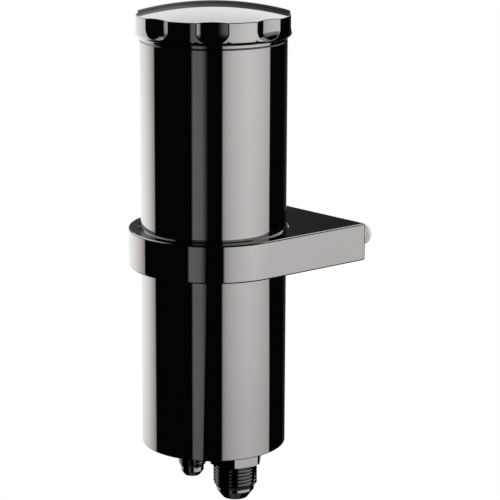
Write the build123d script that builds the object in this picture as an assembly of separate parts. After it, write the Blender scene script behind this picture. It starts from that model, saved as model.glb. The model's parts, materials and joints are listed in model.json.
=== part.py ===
from build123d import *
import os
from math import acos, atan2, cos, hypot, radians, sin, sqrt, tan

# Remote power steering reservoir: a round can with a screw cap, held in a ring bracket.
# Millimetres, +Z up. The origin is the centre of the bracket's flat mounting face,
# +Y is that face's outward normal, and the can stands upright on the -Y side.

# Can: tube and bottom are one turned piece
tube_diameter = 73.025          # 2 7/8 in
tube_wall = 4.7625              # 3/16 in
tube_length = 206.4
bottom_thickness = 14.3
tube_edge_break = 0.5
mouth_chamfer = 0.8
floor_corner_radius = 3.0

# Thread between cap and can, 12 turns to the inch, drawn here as plain cylinders
mouth_thread_step = 1.5875      # can's bore to the root of its thread, which is 2 5/8 in across
cap_thread_pitch = 25.4 / 12
cap_thread_turns = 5
cap_thread_depth = 1.44         # root of the can's thread to root of the cap's thread
mouth_thread_runout = 2.0

# Cap
cap_overhang = 2.19             # grip beyond the can's side
cap_side_top = 12.8             # height of the dome's edge over the can's top face
cap_dome_rise = 5.1
cap_land_height = 1.6           # step of the can's diameter under the grip
cap_edge_break = 0.3
scallop_count = 8
scallop_depth = 1.55
scallop_cutter_radius = 41.0
scallop_cutter_corner = 9.3
scallop_bottom = 2.9            # lowest point of a scallop over the can's top face
scallop_phase = -43.8           # direction of the first scallop from +X, degrees
cap_relief_step = 0.7           # below the core of the cap's thread
cap_relief_height = 3.2
cap_plug_clearance = 0.3        # radial, between the cap's plug and the can's bore
cap_plug_chamfer = 0.8
cap_plug_wall = 9.45            # plug's outside to the pocket
cap_pocket_roof = 6.0           # height of the pocket's roof over the can's top face
cap_pocket_corner = 3.0

# Cap seal
cap_seal_width = 2.4
cap_seal_clearance = 0.18       # round the ring, to the groove and to the bore
cap_seal_groove_height = 3.2
cap_seal_drop = 2.2             # end of the can's thread to the middle of the seal
cap_plug_land = 2.0             # below the seal's groove

# Air vent through the cap's plug
vent_diameter = 2.4
vent_plug_length = 5.0
vent_bore_diameter = 1.6
vent_drop = 1.6                 # axis below the can's top face
vent_direction = 90.0           # from +X, degrees: the side of the mounting face

# Dipstick and its post under the cap
post_diameter = 12.0
post_end_gap = 2.5              # post's end to the splash shield
blade_width = 6.35
blade_thickness = 1.2
blade_length = 120.0
blade_insertion = 12.0
blade_clearance = 0.08
blade_mark_heights = (40.0, 65.0)
blade_mark_radius = 1.2
pin_diameter = 2.4
fit_clearance = 0.05            # radial, for threads and pins that hold still

# Splash shield
shield_inset = 3.95             # shield's edge inside the plug's
shield_thickness = 1.2
shield_hole_diameter = 8.4
shield_vent_count = 8
shield_vent_diameter = 3.0
shield_vent_circle = 15.0
shield_screw_count = 3
shield_screw_offset = 3.0       # screws outside the cap's pocket
shield_screw_phase = 30.0       # direction of the first screw, degrees
shield_screw_diameter = 2.84
shield_screw_length = 8.0
shield_screw_head_diameter = 5.2
shield_screw_head_height = 1.9
shield_screw_slot = 0.8

# Bracket
bracket_thickness = 19.05       # 3/4 in
bracket_drop = 104.0            # can's top face to the bracket's mid-height
bracket_ring_wall = 6.35
bracket_bore_clearance = 0.05
bracket_bore_chamfer = 1.2
bracket_edge_radius = 0.8
bracket_corner_radius = 1.2
face_distance = 60.325          # 2 3/8 in, can's axis to the mounting face
face_width = 96.8

# Mounting screws, 1/4 in, turned part of the way in
mount_edge_distance = 13.475    # screw to the end of the face
mount_screw_diameter = 6.35
mount_screw_length = 25.4
mount_screw_standoff = 11.3     # mounting face to the underside of the head
mount_hole_depth = 22.0
mount_hole_countersink = 0.6
mount_head_diameter = 11.1
mount_head_height = 3.35
mount_head_flat = 5.8
mount_head_bulge = 0.42         # of the dome's arc over its chord
mount_socket_across_flats = 3.97
mount_socket_depth = 2.2

# Set screw that clamps the can, and its pad
set_screw_diameter = 6.35
set_screw_length = 19.05        # ends just inside the mounting face
set_screw_socket_across_flats = 3.175
set_screw_socket_depth = 3.0
pad_diameter = 5.6
pad_length = 3.0

# Ports: on a line through the can's axis, parallel to the mounting face
port_offset = 16.2
flare_angle = 37.0
thread_end_angle = 37.0         # chamfer at the end of the thread, from the axis
hex_corner_share = 0.97         # turned corners, as a share of the sharp hexagon's
hex_chamfer = 0.9
nose_edge_break = 0.4
port_thread_chamfer = 0.8
seal_clearance = 0.06

# Feed fitting, 7/8 in thread
feed_thread_diameter = 22.22
feed_thread_length = 13.2
feed_hex = 25.4
feed_hex_height = 7.8
feed_nose_diameter = 19.2
feed_nose_length = 1.5
feed_tip_diameter = 12.7
feed_bore = 11.2
feed_stem_length = 11.0
feed_seal_width = 2.4
feed_passage_diameter = 17.0
feed_hex_turn = 12.5            # direction of the hexagon's first corner from +X, degrees

# Return fitting, 9/16 in thread
return_thread_diameter = 14.29
return_thread_length = 11.2
return_hex = 17.46
return_hex_height = 7.4
return_nose_diameter = 12.0
return_nose_length = 2.4
return_tip_diameter = 8.0
return_bore = 6.8
return_stem_length = 9.6
return_seal_width = 1.8
return_passage_diameter = 9.5
return_hex_turn = 12.5

# Standpipe over the return port
standpipe_diameter = 12.7
standpipe_wall = 1.6
standpipe_seat_depth = 3.0
standpipe_height = 110.0        # over the can's floor
standpipe_end_thickness = 3.0
standpipe_end_break = 1.0
spray_hole_diameter = 5.0
spray_rows = 3
spray_row_pitch = 9.0

# Baffle and its retaining ring
sump_height = 25.0
ledge_width = 2.5
baffle_thickness = 2.0
baffle_clearance = 0.1
baffle_pipe_clearance = 0.4
baffle_hole_diameter = 4.2
baffle_hole_pitch = 7.6
baffle_margin = 3.4
ring_thickness = 1.6
ring_groove_depth = 1.2
ring_groove_clearance = 0.1
ring_land = 2.2
ring_gap_angle = 34.0
ring_gap_direction = 90.0
ring_lug_radius = 2.9
ring_lug_hole = 1.9

# Cutters run past the faces they cut by this much
overcut = 1.0

# Sizes that follow
tube_radius = tube_diameter / 2
bore_radius = tube_radius - tube_wall
thread_radius = bore_radius + mouth_thread_step
thread_length = cap_thread_turns * cap_thread_pitch
cap_radius = tube_radius + cap_overhang
plug_radius = bore_radius - cap_plug_clearance
cap_core_radius = thread_radius - cap_thread_depth
cap_relief_radius = cap_core_radius - cap_relief_step
cap_pocket_radius = plug_radius - cap_plug_wall
shield_radius = plug_radius - shield_inset
shield_screw_circle = cap_pocket_radius + shield_screw_offset
mount_spacing = face_width - 2 * mount_edge_distance
top = bracket_drop
bottom = top - tube_length
floor = bottom + bottom_thickness
ledge = floor + sump_height
ledge_radius = bore_radius - ledge_width
mouth_depth = cap_relief_height + thread_length + mouth_thread_runout
seal_height = top - mouth_depth - cap_seal_drop
plug_low = seal_height - cap_seal_groove_height / 2 - cap_plug_land
shield_top = plug_low
post_end = shield_top + post_end_gap
can_axis = Location((0, -face_distance, 0))


def turned(outline, arcs=()):
    """Solid of revolution about Z from (radius, height) points, with the corners in arcs rounded."""
    face = make_face(Plane.XZ * Polyline(*outline, close=True))
    for radius, height, corner in arcs:
        spot = Vector(radius, 0, height)
        nearest = face.vertices().sort_by_distance(spot)[0]
        face = fillet(nearest, corner)
    return revolve(face, Axis.Z)


def rod(radius, low, high, x=0.0, y=0.0):
    """Upright round bar between two heights."""
    return Pos(x, y, low) * Cylinder(radius, high - low, align=(Align.CENTER, Align.CENTER, Align.MIN))


def round_bar_y(radius, near, far, x=0.0, z=0.0):
    """Round bar along Y between two distances."""
    bar = Cylinder(radius, far - near, align=(Align.CENTER, Align.CENTER, Align.MIN))
    return Pos(x, near, z) * Rot(-90, 0, 0) * bar


def hexagon_bar(across_flats, low, high, turn=0.0):
    """Upright hexagonal bar between two heights."""
    outline = Rot(0, 0, turn) * RegularPolygon(across_flats / 2, 6, major_radius=False)
    return Pos(0, 0, low) * extrude(outline, high - low)


def reservoir_body():
    """Can: mouth thread, bore, ledge for the baffle, sump, floor and the two ports."""
    root = thread_radius
    can = turned(
        [
            (0, bottom),
            (tube_radius - tube_edge_break, bottom),
            (tube_radius, bottom + tube_edge_break),
            (tube_radius, top - tube_edge_break),
            (tube_radius - tube_edge_break, top),
            (root + mouth_chamfer, top),
            (root, top - mouth_chamfer),
            (root, top - mouth_depth + (root - bore_radius)),
            (bore_radius, top - mouth_depth),
            (bore_radius, ledge),
            (ledge_radius, ledge),
            (ledge_radius, floor),
            (0, floor),
        ],
        arcs=[(ledge_radius, floor, floor_corner_radius)],
    )
    groove_low = ledge + baffle_thickness
    groove_radius = bore_radius + ring_groove_depth
    groove = rod(groove_radius, groove_low, groove_low + ring_thickness + ring_groove_clearance)
    can -= groove
    can -= port(port_offset, feed_thread_diameter, feed_stem_length, feed_seal_width, feed_passage_diameter)
    can -= port(
        -port_offset, return_thread_diameter, return_stem_length, return_seal_width, return_passage_diameter
    )
    seat_radius = standpipe_diameter / 2 + fit_clearance
    can -= rod(seat_radius, floor - standpipe_seat_depth, floor + overcut, x=-port_offset)
    return can_axis * can


def seal_ring_radius(thread_diameter, seal_width):
    """Middle radius of a port seal: it lies in the groove round the fitting's neck."""
    return thread_diameter / 2 - seal_width / 2 + seal_clearance


def port(x, thread_diameter, stem_length, seal_width, passage_diameter):
    """Everything cut away for one port: seal recess, thread and passage into the sump."""
    recess_radius = seal_ring_radius(thread_diameter, seal_width) + seal_width / 2 + seal_clearance
    recess_height = seal_width + 2 * seal_clearance
    thread_radius_here = thread_diameter / 2 + fit_clearance
    cut = rod(recess_radius, bottom, bottom + recess_height)
    cut += rod(thread_radius_here, bottom, bottom + stem_length)
    cut += rod(passage_diameter / 2, bottom, floor)
    return Pos(x, 0, 0) * cut


def fitting(
    x, thread_diameter, thread_length_here, across_flats, hex_height, hex_turn, nose_diameter, nose_length,
    tip_diameter, bore_diameter, stem_length, seal_width,
):
    """Male fitting: stem and seal neck in the port, hexagon, thread, nose and flare cone."""
    thread_r = thread_diameter / 2
    nose_r = nose_diameter / 2
    tip_r = tip_diameter / 2
    neck_r = seal_ring_radius(thread_diameter, seal_width) - seal_width / 2 - seal_clearance
    neck_top = bottom + seal_width + 2 * seal_clearance
    stem_top = bottom + stem_length
    hex_low = bottom - hex_height
    thread_low = hex_low - thread_length_here
    nose_low = thread_low - nose_length
    tip = nose_low - (nose_r - tip_r) / tan(radians(flare_angle))
    step = (thread_r - nose_r) / tan(radians(thread_end_angle))
    body = turned(
        [
            (0, stem_top),
            (thread_r - port_thread_chamfer, stem_top),
            (thread_r, stem_top - port_thread_chamfer),
            (thread_r, neck_top),
            (neck_r, neck_top),
            (neck_r, bottom),
            (neck_r, hex_low),
            (thread_r, hex_low),
            (thread_r, thread_low + step),
            (nose_r, thread_low),
            (nose_r, nose_low),
            (tip_r + nose_edge_break, tip + nose_edge_break),
            (tip_r, tip),
            (0, tip),
        ]
    )
    corner_radius = across_flats / sqrt(3) * hex_corner_share
    hexagon = hexagon_bar(across_flats, hex_low, bottom, turn=hex_turn)
    turned_blank = turned(
        [
            (0, bottom),
            (corner_radius, bottom),
            (corner_radius, hex_low + hex_chamfer / 2),
            (corner_radius - hex_chamfer, hex_low),
            (0, hex_low),
        ]
    )
    body += hexagon & turned_blank
    body -= rod(bore_diameter / 2, tip - overcut, stem_top + overcut)
    return can_axis * Pos(x, 0, 0) * body


def feed_fitting():
    return fitting(
        port_offset, feed_thread_diameter, feed_thread_length, feed_hex, feed_hex_height, feed_hex_turn,
        feed_nose_diameter, feed_nose_length, feed_tip_diameter, feed_bore, feed_stem_length, feed_seal_width,
    )


def return_fitting():
    return fitting(
        -port_offset, return_thread_diameter, return_thread_length, return_hex, return_hex_height,
        return_hex_turn, return_nose_diameter, return_nose_length, return_tip_diameter, return_bore,
        return_stem_length, return_seal_width,
    )


def port_seal(x, thread_diameter, seal_width):
    """Port seal: a round-section ring against the hexagon's face."""
    middle = seal_ring_radius(thread_diameter, seal_width)
    height = bottom + seal_clearance + seal_width / 2
    return can_axis * Pos(x, 0, height) * Torus(middle, seal_width / 2)


def filler_cap():
    """Cap: domed top, eight scallops, plug with thread core and seal groove, pocket and dipstick post."""
    land_r = tube_radius
    side_top = top + cap_side_top
    apex = side_top + cap_dome_rise
    grip_low = top + cap_land_height
    grip_round = cap_radius - land_r
    thread_low = top - cap_relief_height - thread_length
    dome_radius = (cap_radius ** 2 + cap_dome_rise ** 2) / (2 * cap_dome_rise)
    half_way = cap_radius / 2
    dome_middle = apex - dome_radius + sqrt(dome_radius ** 2 - half_way ** 2)
    bend = grip_round * (1 - sqrt(0.5))
    dome = ThreePointArc((0, apex), (half_way, dome_middle), (cap_radius, side_top))
    side = Line((cap_radius, side_top), (cap_radius, grip_low + grip_round))
    rounding = ThreePointArc(
        (cap_radius, grip_low + grip_round),
        (cap_radius - bend, grip_low + bend),
        (land_r, grip_low),
    )
    under = Polyline(
        (land_r, grip_low),
        (land_r, top + cap_edge_break),
        (land_r - cap_edge_break, top),
        (cap_relief_radius, top),
        (cap_relief_radius, top - cap_relief_height),
        (cap_core_radius, top - cap_relief_height),
        (cap_core_radius, thread_low),
        (plug_radius, thread_low),
        (plug_radius, plug_low + cap_plug_chamfer),
        (plug_radius - cap_plug_chamfer, plug_low),
        (0, plug_low),
        (0, apex),
    )
    cap = revolve(make_face(Plane.XZ * Curve([dome, side, rounding, under])), Axis.Z)
    cap -= scallops()
    groove_root = bore_radius - cap_seal_width - 2 * cap_seal_clearance
    groove_low = seal_height - cap_seal_groove_height / 2
    groove = rod(plug_radius + overcut, groove_low, groove_low + cap_seal_groove_height)
    cap -= groove - rod(groove_root, groove_low, groove_low + cap_seal_groove_height)
    roof = top + cap_pocket_roof
    pocket = turned(
        [(0, plug_low), (cap_pocket_radius, plug_low), (cap_pocket_radius, roof), (0, roof)],
        arcs=[(cap_pocket_radius, roof, cap_pocket_corner)],
    )
    cap -= pocket - rod(post_diameter / 2, post_end, roof)
    slot_width = blade_width + 2 * blade_clearance
    slot_thickness = blade_thickness + 2 * blade_clearance
    slot = Box(slot_width, slot_thickness, blade_insertion, align=(Align.CENTER, Align.CENTER, Align.MIN))
    cap -= Pos(0, 0, post_end) * slot
    cap -= round_bar_y(pin_diameter / 2 + fit_clearance, -post_diameter, post_diameter, z=pin_height())
    for screw_angle in shield_screw_angles():
        x, y = on_circle(shield_screw_circle, screw_angle)
        cap -= rod(shield_screw_diameter / 2 + fit_clearance, plug_low, plug_low + shield_screw_length, x, y)
    cap -= vent_bores()
    return can_axis * cap


def on_circle(radius, angle):
    """Point at an angle in degrees on a circle about the can's axis."""
    return radius * cos(radians(angle)), radius * sin(radians(angle))


def scallops():
    """Eight cuts of a bull-nosed cutter that runs beside the cap and stops above its lower edge."""
    rise = sqrt(scallop_cutter_corner ** 2 - (scallop_cutter_corner - scallop_depth) ** 2)
    cutter_low = top + scallop_bottom + rise - scallop_cutter_corner
    height = cap_side_top + cap_dome_rise + scallop_cutter_corner
    cutter = rod(scallop_cutter_radius, cutter_low, cutter_low + height)
    cutter = fillet(cutter.edges().group_by(Axis.Z)[0], scallop_cutter_corner)
    reach = cap_radius - scallop_depth + scallop_cutter_radius
    cuts = []
    for index in range(scallop_count):
        x, y = on_circle(reach, scallop_phase + 360 / scallop_count * index)
        cuts.append(Pos(x, y, 0) * cutter)
    return cuts


def pin_height():
    """The dipstick's pin crosses the middle of the blade's slot."""
    return post_end + blade_insertion / 2


def shield_screw_angles():
    return [shield_screw_phase + 360 / shield_screw_count * index for index in range(shield_screw_count)]


def radial_bar(radius, near, far, height):
    """Round bar that points away from the can's axis, in the vent's direction."""
    bar = Cylinder(radius, far - near, align=(Align.CENTER, Align.CENTER, Align.MIN))
    return Rot(0, 0, vent_direction) * Pos(near, 0, height) * Rot(0, 90, 0) * bar


def vent_bores():
    """Seat for the vent plug from outside the plug, and a narrower hole on into the pocket."""
    height = top - vent_drop
    seat_near = cap_relief_radius - vent_plug_length
    seat = radial_bar(vent_diameter / 2 + fit_clearance, seat_near, cap_relief_radius, height)
    return seat + radial_bar(vent_bore_diameter / 2, cap_pocket_radius - cap_pocket_corner, seat_near, height)


def vent_plug():
    far = cap_relief_radius
    return can_axis * radial_bar(vent_diameter / 2, far - vent_plug_length, far, top - vent_drop)


def cap_o_ring():
    """Seal in the cap's groove, clear of the groove's root and of the can's bore."""
    middle = bore_radius - cap_seal_clearance - cap_seal_width / 2
    return can_axis * Pos(0, 0, seal_height) * Torus(middle, cap_seal_width / 2)


def splash_shield():
    """Thin perforated disc screwed under the cap's plug."""
    shield = rod(shield_radius, shield_top - shield_thickness, shield_top)
    shield -= rod(shield_hole_diameter / 2, shield_top - shield_thickness, shield_top)
    for screw_angle in shield_screw_angles():
        x, y = on_circle(shield_screw_circle, screw_angle)
        shield -= rod(
            shield_screw_diameter / 2 + fit_clearance, shield_top - shield_thickness, shield_top, x, y
        )
    for index in range(shield_vent_count):
        x, y = on_circle(shield_vent_circle, 360 / shield_vent_count * index)
        shield -= rod(shield_vent_diameter / 2, shield_top - shield_thickness, shield_top, x, y)
    return can_axis * shield


def shield_screw(screw_angle):
    """Small pan head screw with a slot, head down."""
    head_top = shield_top - shield_thickness
    head_low = head_top - shield_screw_head_height
    head_r = shield_screw_head_diameter / 2
    screw = turned(
        [(0, head_low), (head_r, head_low), (head_r, head_top), (0, head_top)],
        arcs=[(head_r, head_low, shield_screw_head_height / 2)],
    )
    screw += rod(shield_screw_diameter / 2, head_top, head_top + shield_screw_length)
    slot = Box(shield_screw_head_diameter + overcut, shield_screw_slot, shield_screw_head_height / 2)
    screw -= Pos(0, 0, head_low + shield_screw_head_height / 4) * slot
    x, y = on_circle(shield_screw_circle, screw_angle)
    return can_axis * Pos(x, y, 0) * screw


def dipstick():
    """Flat blade with two pairs of level notches and a hole for its pin."""
    high = post_end + blade_insertion
    low = high - blade_length
    blade = Pos(0, 0, low) * Box(
        blade_width, blade_thickness, blade_length, align=(Align.CENTER, Align.CENTER, Align.MIN)
    )
    blade = fillet(blade.edges().filter_by(Axis.Y).group_by(Axis.Z)[0], blade_width / 3)
    for mark in blade_mark_heights:
        for side in (-1, 1):
            x = side * blade_width / 2
            blade -= round_bar_y(blade_mark_radius, -blade_thickness, blade_thickness, x, low + mark)
    blade -= round_bar_y(pin_diameter / 2 + fit_clearance, -blade_thickness, blade_thickness, 0, pin_height())
    return can_axis * blade


def dipstick_pin():
    half_length = post_diameter / 2 - fit_clearance
    return can_axis * round_bar_y(pin_diameter / 2, -half_length, half_length, 0, pin_height())


def bracket_outline():
    """Ring and straight sides that run tangent to it from the ends of the mounting face."""
    ring_r = tube_radius + bracket_ring_wall
    half_face = face_width / 2
    corner_distance = hypot(half_face, face_distance)
    corner_direction = atan2(half_face, face_distance)
    tangent_direction = corner_direction + acos(ring_r / corner_distance)
    tangent_x = ring_r * sin(tangent_direction)
    tangent_y = ring_r * cos(tangent_direction) - face_distance
    web = Polygon(
        (half_face, 0), (-half_face, 0), (-tangent_x, tangent_y), (tangent_x, tangent_y), align=None
    )
    return web + Pos(0, -face_distance, 0) * Circle(ring_r)


def mounting_bracket():
    """One machined plate: ring, web and mounting face, with its screw holes."""
    half = bracket_thickness / 2
    plate = Pos(0, 0, -half) * extrude(bracket_outline(), bracket_thickness)
    corners = plate.edges().filter_by(Axis.Z).group_by(Axis.Y)[-1]
    plate = fillet(corners, bracket_corner_radius)
    rims = plate.edges().group_by(Axis.Z)[0] + plate.edges().group_by(Axis.Z)[-1]
    plate = fillet(rims, bracket_edge_radius)
    bore_r = tube_radius + bracket_bore_clearance
    wide_r = bore_r + bracket_bore_chamfer
    plate -= can_axis * turned(
        [
            (0, half),
            (wide_r, half),
            (bore_r, half - bracket_bore_chamfer),
            (bore_r, bracket_bore_chamfer - half),
            (wide_r, -half),
            (0, -half),
        ]
    )
    for side in (-1, 1):
        plate -= mount_hole(side * mount_spacing / 2)
    hole_r = set_screw_diameter / 2 + fit_clearance
    plate -= round_bar_y(hole_r, -face_distance, 0)
    return plate


def mount_hole(x):
    """Threaded hole in the mounting face, with a small countersink."""
    hole_r = mount_screw_diameter / 2 + fit_clearance
    hole = round_bar_y(hole_r, -mount_hole_depth, 0, x=x)
    mouth = Cone(
        hole_r, hole_r + mount_hole_countersink, mount_hole_countersink,
        align=(Align.CENTER, Align.CENTER, Align.MAX),
    )
    return hole + Pos(x, 0, 0) * Rot(-90, 0, 0) * mouth


def mounting_screw(x):
    """Button head screw along Y, its head clear of the mounting face."""
    head_r = mount_head_diameter / 2
    flat_r = mount_head_flat / 2
    middle = ((head_r + flat_r) / 2 + mount_head_bulge, mount_head_height / 2 + mount_head_bulge)
    crown = ThreePointArc((head_r, 0), middle, (flat_r, mount_head_height))
    rest = Polyline((flat_r, mount_head_height), (0, mount_head_height), (0, 0), (head_r, 0))
    head = revolve(make_face(Plane.XZ * Curve([crown, rest])), Axis.Z)
    head -= hexagon_bar(
        mount_socket_across_flats, mount_head_height - mount_socket_depth, mount_head_height + overcut
    )
    screw = head + rod(mount_screw_diameter / 2, -mount_screw_length, 0)
    return Pos(x, mount_screw_standoff, 0) * Rot(-90, 0, 0) * screw


def set_screw_inner_end():
    """The pad lies between the can's wall and the set screw."""
    return tube_radius - face_distance + fit_clearance + pad_length


def bracket_set_screw():
    """Headless screw with a hexagon socket in its outer end."""
    near = set_screw_inner_end()
    screw = rod(set_screw_diameter / 2, 0, set_screw_length)
    screw -= hexagon_bar(
        set_screw_socket_across_flats, set_screw_length - set_screw_socket_depth, set_screw_length + overcut
    )
    return Pos(0, near, 0) * Rot(-90, 0, 0) * screw


def set_screw_pad():
    near = set_screw_inner_end() - pad_length
    return round_bar_y(pad_diameter / 2, near, near + pad_length)


def return_standpipe():
    """Pipe over the return port: closed at the top, with cross holes that spread the flow."""
    low = floor - standpipe_seat_depth
    high = floor + standpipe_height
    outer = standpipe_diameter / 2
    pipe = turned(
        [
            (0, low),
            (outer, low),
            (outer, high - standpipe_end_break),
            (outer - standpipe_end_break, high),
            (0, high),
        ]
    )
    pipe -= rod(outer - standpipe_wall, low, high - standpipe_end_thickness)
    first_row = high - standpipe_end_thickness - spray_hole_diameter
    for row in range(spray_rows):
        height = first_row - spray_row_pitch * row
        pipe -= round_bar_y(spray_hole_diameter / 2, -standpipe_diameter, standpipe_diameter, z=height)
    return can_axis * Pos(-port_offset, 0, 0) * pipe


def baffle_holes():
    """Centres of a triangular grid of holes, kept off the rim and off the standpipe."""
    row_pitch = baffle_hole_pitch * sqrt(3) / 2
    limit = ledge_radius - baffle_margin
    keep_off = standpipe_diameter / 2 + baffle_pipe_clearance + baffle_margin
    rows = int(limit / row_pitch)
    spots = []
    for row in range(-rows, rows + 1):
        shift = baffle_hole_pitch / 2 if row % 2 else 0.0
        for column in range(-rows - 1, rows + 2):
            x = column * baffle_hole_pitch + shift
            y = row * row_pitch
            if hypot(x, y) < limit and hypot(x + port_offset, y) > keep_off:
                spots.append((x, y))
    return spots


def baffle_plate():
    """Perforated disc on the ledge, over the sump."""
    high = ledge + baffle_thickness
    plate = rod(bore_radius - baffle_clearance, ledge, high)
    plate -= rod(standpipe_diameter / 2 + baffle_pipe_clearance, ledge, high, x=-port_offset)
    plate -= [rod(baffle_hole_diameter / 2, ledge, high, x, y) for x, y in baffle_holes()]
    return can_axis * plate


def baffle_snap_ring():
    """Open retaining ring with two drilled lugs, in its groove over the baffle."""
    low = ledge + baffle_thickness
    high = low + ring_thickness
    outer = bore_radius + ring_groove_depth - ring_groove_clearance
    inner = bore_radius - ring_land
    ring = rod(outer, low, high) - rod(inner, low, high)
    half_gap = ring_gap_angle / 2
    reach = outer / cos(radians(half_gap))
    gap_ends = [ring_gap_direction - half_gap, ring_gap_direction + half_gap]
    wedge = Polygon((0, 0), *[on_circle(reach, angle) for angle in gap_ends], align=None)
    ring -= Pos(0, 0, low) * extrude(wedge, ring_thickness)
    lug_circle = bore_radius - fit_clearance - ring_lug_radius
    for gap_end in gap_ends:
        x, y = on_circle(lug_circle, gap_end)
        ring += rod(ring_lug_radius, low, high, x, y)
        ring -= rod(ring_lug_hole / 2, low, high, x, y)
    return can_axis * ring


def make_parts():
    """Every piece by its name."""
    parts = {
        "reservoir_body": reservoir_body(),
        "filler_cap": filler_cap(),
        "cap_o_ring": cap_o_ring(),
        "vent_plug": vent_plug(),
        "splash_shield": splash_shield(),
        "dipstick": dipstick(),
        "dipstick_pin": dipstick_pin(),
        "mounting_bracket": mounting_bracket(),
        "mounting_screw_left": mounting_screw(-mount_spacing / 2),
        "mounting_screw_right": mounting_screw(mount_spacing / 2),
        "bracket_set_screw": bracket_set_screw(),
        "set_screw_pad": set_screw_pad(),
        "feed_fitting": feed_fitting(),
        "return_fitting": return_fitting(),
        "feed_port_o_ring": port_seal(port_offset, feed_thread_diameter, feed_seal_width),
        "return_port_o_ring": port_seal(-port_offset, return_thread_diameter, return_seal_width),
        "return_standpipe": return_standpipe(),
        "baffle_plate": baffle_plate(),
        "baffle_snap_ring": baffle_snap_ring(),
    }
    for number, screw_angle in enumerate(shield_screw_angles(), start=1):
        parts[f"shield_screw_{number}"] = shield_screw(screw_angle)
    return parts


os.makedirs("parts", exist_ok=True)
for name, solid in make_parts().items():
    export_step(solid, f"parts/{name}.step")
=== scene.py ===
"""Power steering reservoir: chromed can with a scalloped screw cap, a ring bracket and two hose fittings.

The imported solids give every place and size. Metres in the scene, millimetres in the named sizes.
The can's axis is upright, and the bracket's mounting face lies in the plane y = 0.
"""
import json
import math
from functools import partial

import bmesh
import bpy
from mathutils import Matrix, Vector
from mathutils.geometry import delaunay_2d_cdt


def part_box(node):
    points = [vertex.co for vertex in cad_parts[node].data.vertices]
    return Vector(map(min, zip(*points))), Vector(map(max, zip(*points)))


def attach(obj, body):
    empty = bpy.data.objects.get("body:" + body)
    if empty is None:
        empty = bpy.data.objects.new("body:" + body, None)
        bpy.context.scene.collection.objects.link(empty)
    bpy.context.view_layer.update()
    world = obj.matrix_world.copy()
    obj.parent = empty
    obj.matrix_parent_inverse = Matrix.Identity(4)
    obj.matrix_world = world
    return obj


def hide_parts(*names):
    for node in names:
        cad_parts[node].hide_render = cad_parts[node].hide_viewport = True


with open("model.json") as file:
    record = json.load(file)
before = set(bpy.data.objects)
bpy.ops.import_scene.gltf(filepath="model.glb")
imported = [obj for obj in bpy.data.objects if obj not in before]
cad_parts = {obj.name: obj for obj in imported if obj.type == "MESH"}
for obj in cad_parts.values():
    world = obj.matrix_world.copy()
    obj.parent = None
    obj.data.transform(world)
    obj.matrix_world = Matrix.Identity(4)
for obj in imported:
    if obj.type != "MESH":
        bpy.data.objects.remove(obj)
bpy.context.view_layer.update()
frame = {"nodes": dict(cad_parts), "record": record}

MM = 0.001

# Camera of the photograph: a long lens, a little above the cap and turned to the bracket's side
VIEW_AZIMUTH = math.radians(47.0)
VIEW_TILT = math.radians(13.955)
VIEW_DISTANCE = 1045.4
VIEW_HEIGHT = 152.9              # over the can's top face
LENS = 154.2
SENSOR_WIDTH = 36.0
PHOTO_WIDTH = 500
AXIS_COLUMN = 213.5              # the can's axis in the photograph, pixels from the left

# Sizes that the frame gives, in millimetres
can_low, can_high = (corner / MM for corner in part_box("reservoir_body"))
TUBE_RADIUS = (can_high.x - can_low.x) / 2
AXIS_Y = (can_high.y + can_low.y) / 2
TOP = can_high.z
BOTTOM = can_low.z
ROUNDING = 0.0005                # keeps the dome inside the solid's box, whose last digit is rounded
CAP_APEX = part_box("filler_cap")[1].z / MM - ROUNDING
PLUG_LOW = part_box("filler_cap")[0].z / MM
BRACKET_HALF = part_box("mounting_bracket")[1].z / MM
FACE_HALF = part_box("mounting_bracket")[1].x / MM
SEAL_HEIGHT = sum(corner.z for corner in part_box("cap_o_ring")) / 2 / MM
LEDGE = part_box("baffle_plate")[0].z / MM
BAFFLE_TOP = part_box("baffle_plate")[1].z / MM
PIPE_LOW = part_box("return_standpipe")[0].z / MM
SCREW_OFFSET = sum(corner.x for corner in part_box("mounting_screw_right")) / 2 / MM

FIT_CLEARANCE = 0.05

# Can
TUBE_WALL = 4.7625
EDGE_BREAK = 0.5
MOUTH_EDGE = 0.7                 # outer edge of the can's mouth, under the cap
MOUTH_CHAMFER = 0.8
MOUTH_STEP = 1.5875
FLOOR_THICKNESS = 14.3
FLOOR_CORNER = 3.0
LEDGE_WIDTH = 2.5
SNAP_GROOVE_DEPTH = 1.2
SNAP_GROOVE_HEIGHT = 1.7
PIPE_RADIUS = 6.35               # of the standpipe that stands in the floor
BORE_RADIUS = TUBE_RADIUS - TUBE_WALL
MOUTH_RADIUS = BORE_RADIUS + MOUTH_STEP
FLOOR = BOTTOM + FLOOR_THICKNESS

# Thread between cap and can
CAP_PITCH = 25.4 / 12
CAP_THREAD_LENGTH = 5 * CAP_PITCH
CAP_RELIEF_HEIGHT = 3.2
THREAD_RUNOUT = 2.0
CAP_CORE_RADIUS = MOUTH_RADIUS - 1.44
MOUTH_BACKING = 0.4              # how far the thread pieces reach into the wall and into the plug
PLUG_BACKING = 0.6
CAP_RIDGE = 1.146                # height of the cap's thread ridge
MOUTH_RIDGE = 1.02               # height of the can's thread ridge
MOUTH_DEPTH = CAP_RELIEF_HEIGHT + CAP_THREAD_LENGTH + THREAD_RUNOUT
CAP_THREAD_HIGH = TOP - CAP_RELIEF_HEIGHT
CAP_THREAD_LOW = CAP_THREAD_HIGH - CAP_THREAD_LENGTH

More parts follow.
